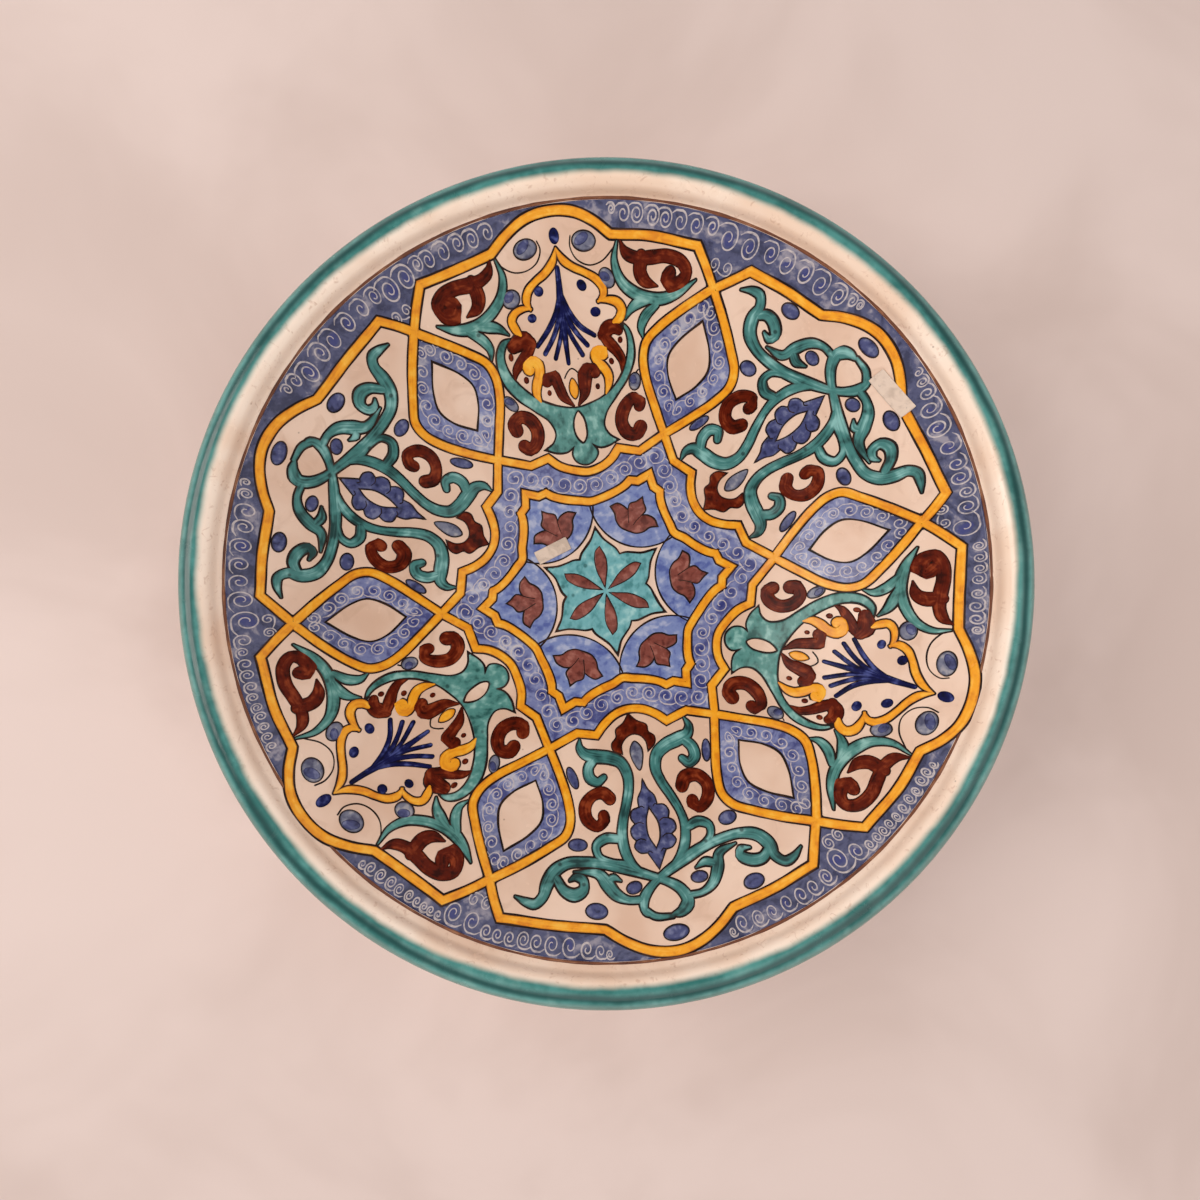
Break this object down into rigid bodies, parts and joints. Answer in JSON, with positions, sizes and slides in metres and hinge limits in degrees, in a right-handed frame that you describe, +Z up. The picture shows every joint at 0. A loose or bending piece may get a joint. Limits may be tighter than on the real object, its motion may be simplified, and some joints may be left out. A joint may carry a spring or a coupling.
{
  "type": "painted ceramic dish",
  "caption": "Deep round serving dish, thrown clay on a foot ring, white glaze, green rim, painted inside with a star and leafy medallions in blue, green, ochre and brown.",
  "frame": {"origin": "on the table, under the middle of the foot ring", "axes": "+Z up through the middle of the dish; +X and +Y lie on the table, with one palmette medallion about 10 degrees past +Y towards -X"},
  "size_m": [0.4205, 0.4206, 0.1142],
  "materials": {
    "terracotta": "matte, bare fired clay",
    "white_glaze": "gloss, warm white tin glaze",
    "green_glaze": "gloss, brushed band with a darker middle",
    "green_paint": "gloss, watery brush fill",
    "ochre_paint": "gloss, even brush line",
    "manganese_paint": "gloss, streaky brush strokes",
    "cobalt_paint": "gloss, dense brush strokes",
    "blue_wash_paint": "gloss, thin watery wash",
    "label_paper": "matte, blank"
  },
  "bodies": {
    "root": {"clay_bowl": "terracotta", "foot_ring": "terracotta", "inside_glaze": "white_glaze", "outside_glaze": "white_glaze", "rim_green_glaze": "green_glaze", "border_line": "manganese_paint", "scroll_ground": "blue_wash_paint", "medallion_straps": "ochre_paint", "star_strap": "ochre_paint", "lozenge_lines": "manganese_paint", "rosette_lobes": "blue_wash_paint", "rosette_star": "green_paint", "rosette_petals": "manganese_paint", "rosette_flowers": "manganese_paint", "palmette_vases": "green_paint", "palmette_arches": "ochre_paint", "palmette_scrolls": "manganese_paint", "palmette_sprays": "cobalt_paint", "arabesques": "green_paint", "arabesque_almonds": "cobalt_paint", "arabesque_crowns": "manganese_paint", "comma_leaves": "manganese_paint", "cobalt_dots": "cobalt_paint", "wall_label": "label_paper", "well_label": "label_paper"}
  },
  "joints": []
}
